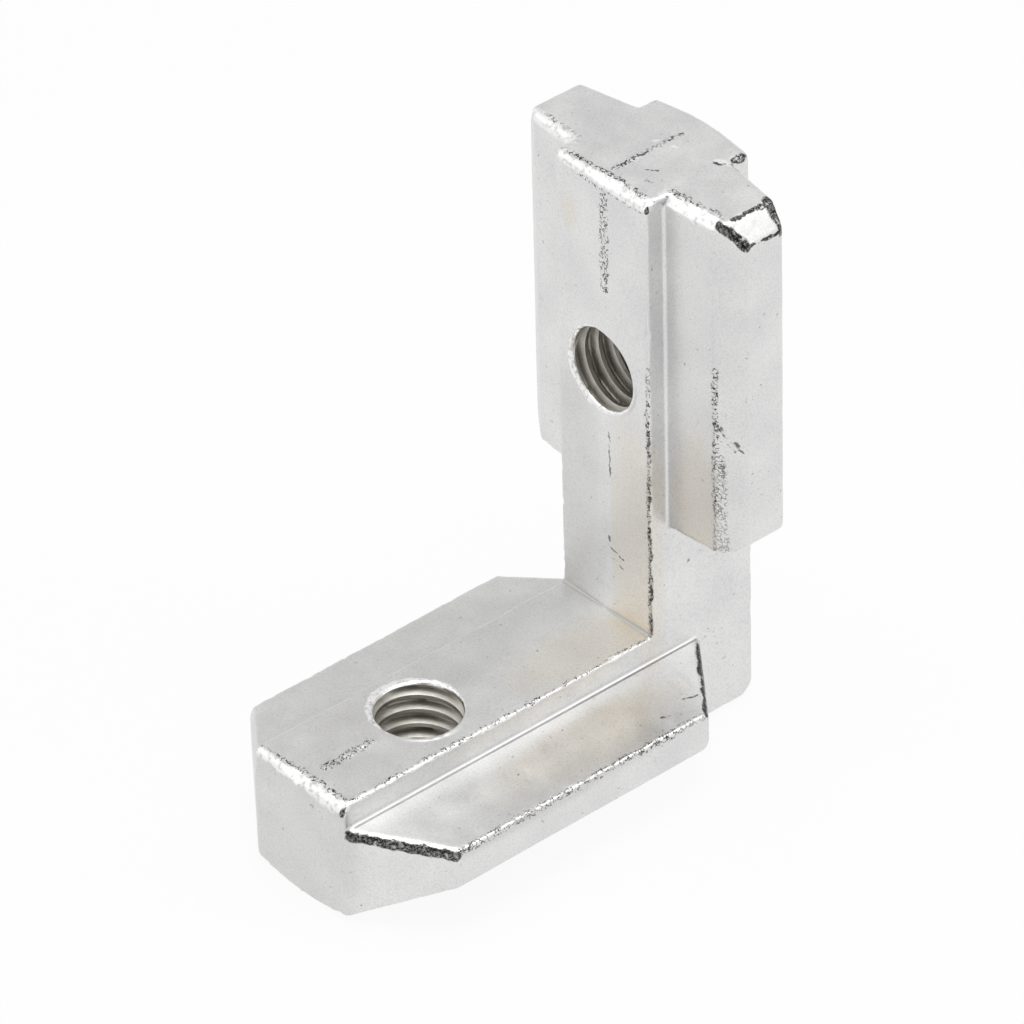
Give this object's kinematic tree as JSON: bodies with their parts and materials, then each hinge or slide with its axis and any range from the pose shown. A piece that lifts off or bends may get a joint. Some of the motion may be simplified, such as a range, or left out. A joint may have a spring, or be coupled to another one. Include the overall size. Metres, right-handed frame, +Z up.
{
  "type": "t slot corner bracket",
  "caption": "L-shaped die-cast bracket whose stepped legs slide into framing bar slots, with a tapped hole through each leg for a set screw.",
  "frame": {"origin": "middle of the underside, under the whole bracket's box", "axes": "+X along the foot from its free end to the upright, +Y across the wings, +Z up the upright"},
  "size_m": [0.031, 0.0178, 0.0375],
  "materials": {
    "plated_zinc": "bright zinc plating over a rough die-cast skin"
  },
  "bodies": {
    "root": {"bracket": "plated_zinc"}
  },
  "joints": []
}
